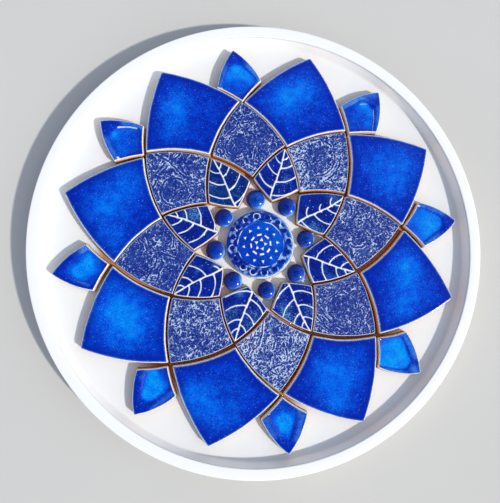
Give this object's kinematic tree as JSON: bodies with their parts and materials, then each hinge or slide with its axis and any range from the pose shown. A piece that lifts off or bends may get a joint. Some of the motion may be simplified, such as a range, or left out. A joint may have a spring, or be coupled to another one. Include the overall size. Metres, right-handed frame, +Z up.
{
  "type": "ceramic tile mandala in a round tray",
  "caption": "Round mandala of loose blue-glazed ceramic tiles, leaf, crinkled and plain petals round a pressed medallion, laid in a shallow white tray.",
  "frame": {"origin": "centre of the tray's foot, on the surface it stands on", "axes": "+Z up out of the tray; +X towards the first textured tile and small petal"},
  "size_m": [0.3, 0.3, 0.016],
  "materials": {
    "tray_glaze": "smooth white glaze, semi-gloss",
    "medallion_glaze": "clear azure to cobalt glaze, pooled between white ridges",
    "cabochon_glaze": "deep blue gloss glaze",
    "leaf_glaze": "navy gloss glaze that breaks white on the veins",
    "textured_glaze": "blue glaze that breaks white on a crinkled face",
    "petal_glaze": "cobalt gloss glaze with a lighter pool and a white broken edge"
  },
  "bodies": {
    "root": {"tray": "tray_glaze", "medallion": "medallion_glaze", "cabochon_1": "cabochon_glaze", "cabochon_2": "cabochon_glaze", "cabochon_3": "cabochon_glaze", "cabochon_4": "cabochon_glaze", "cabochon_5": "cabochon_glaze", "cabochon_6": "cabochon_glaze", "cabochon_7": "cabochon_glaze", "cabochon_8": "cabochon_glaze", "leaf_tile_1": "leaf_glaze", "leaf_tile_2": "leaf_glaze", "leaf_tile_3": "leaf_glaze", "leaf_tile_4": "leaf_glaze", "leaf_tile_5": "leaf_glaze", "leaf_tile_6": "leaf_glaze", "leaf_tile_7": "leaf_glaze", "leaf_tile_8": "leaf_glaze", "textured_tile_1": "textured_glaze", "textured_tile_2": "textured_glaze", "textured_tile_3": "textured_glaze", "textured_tile_4": "textured_glaze", "textured_tile_5": "textured_glaze", "textured_tile_6": "textured_glaze", "textured_tile_7": "textured_glaze", "textured_tile_8": "textured_glaze", "large_petal_1": "petal_glaze", "large_petal_2": "petal_glaze", "large_petal_3": "petal_glaze", "large_petal_4": "petal_glaze", "large_petal_5": "petal_glaze", "large_petal_6": "petal_glaze", "large_petal_7": "petal_glaze", "large_petal_8": "petal_glaze", "small_petal_1": "petal_glaze", "small_petal_2": "petal_glaze", "small_petal_3": "petal_glaze", "small_petal_4": "petal_glaze", "small_petal_5": "petal_glaze", "small_petal_6": "petal_glaze", "small_petal_7": "petal_glaze", "small_petal_8": "petal_glaze"}
  },
  "joints": []
}
